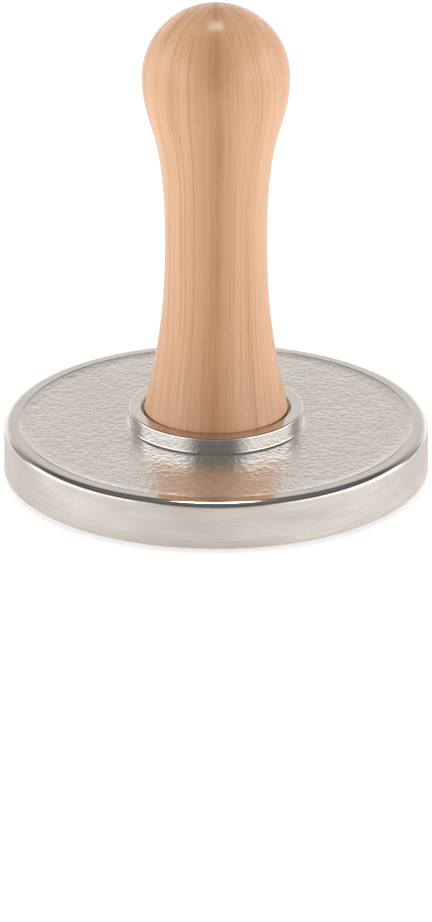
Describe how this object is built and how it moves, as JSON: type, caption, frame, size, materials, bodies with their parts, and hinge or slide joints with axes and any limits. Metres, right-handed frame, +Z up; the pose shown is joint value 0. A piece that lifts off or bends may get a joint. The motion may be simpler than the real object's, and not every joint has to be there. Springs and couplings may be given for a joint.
{
  "type": "butter mold",
  "caption": "Hand stamp for butter: a plated disc with a flower moulding face underneath and a turned wooden handle screwed upright into its centre.",
  "frame": {"origin": "centre of the rim's resting face, on the handle's axis, at the lowest point of the part", "axes": "+Z up the handle's axis, +X through the middle of one petal of the flower"},
  "size_m": [0.076, 0.076, 0.0865],
  "materials": {
    "plated_metal": "polished",
    "cast_aluminium": "satin",
    "beech": "satin",
    "stud_steel": "satin",
    "washer_steel": "satin"
  },
  "bodies": {
    "plate": {"plate_shell": "plated_metal", "flower_die": "cast_aluminium"},
    "washer": {"foot_washer": "washer_steel"},
    "grip": {"handle": "beech", "handle_stud": "stud_steel"}
  },
  "joints": [
    {"name": "handle_rise", "type": "slide", "parent": "plate", "child": "washer", "axis": [0, 0, 1], "range_m": [0, 0.0055]},
    {"name": "handle_turn", "type": "hinge", "parent": "washer", "child": "grip", "pos_m": [0, 0, 0.0103], "axis": [0, 0, 1], "range_deg": [0, 1980]}
  ],
  "couplings": [
    {"joint": "handle_turn", "follows": "handle_rise", "rad_per_m": 6283.2}
  ]
}
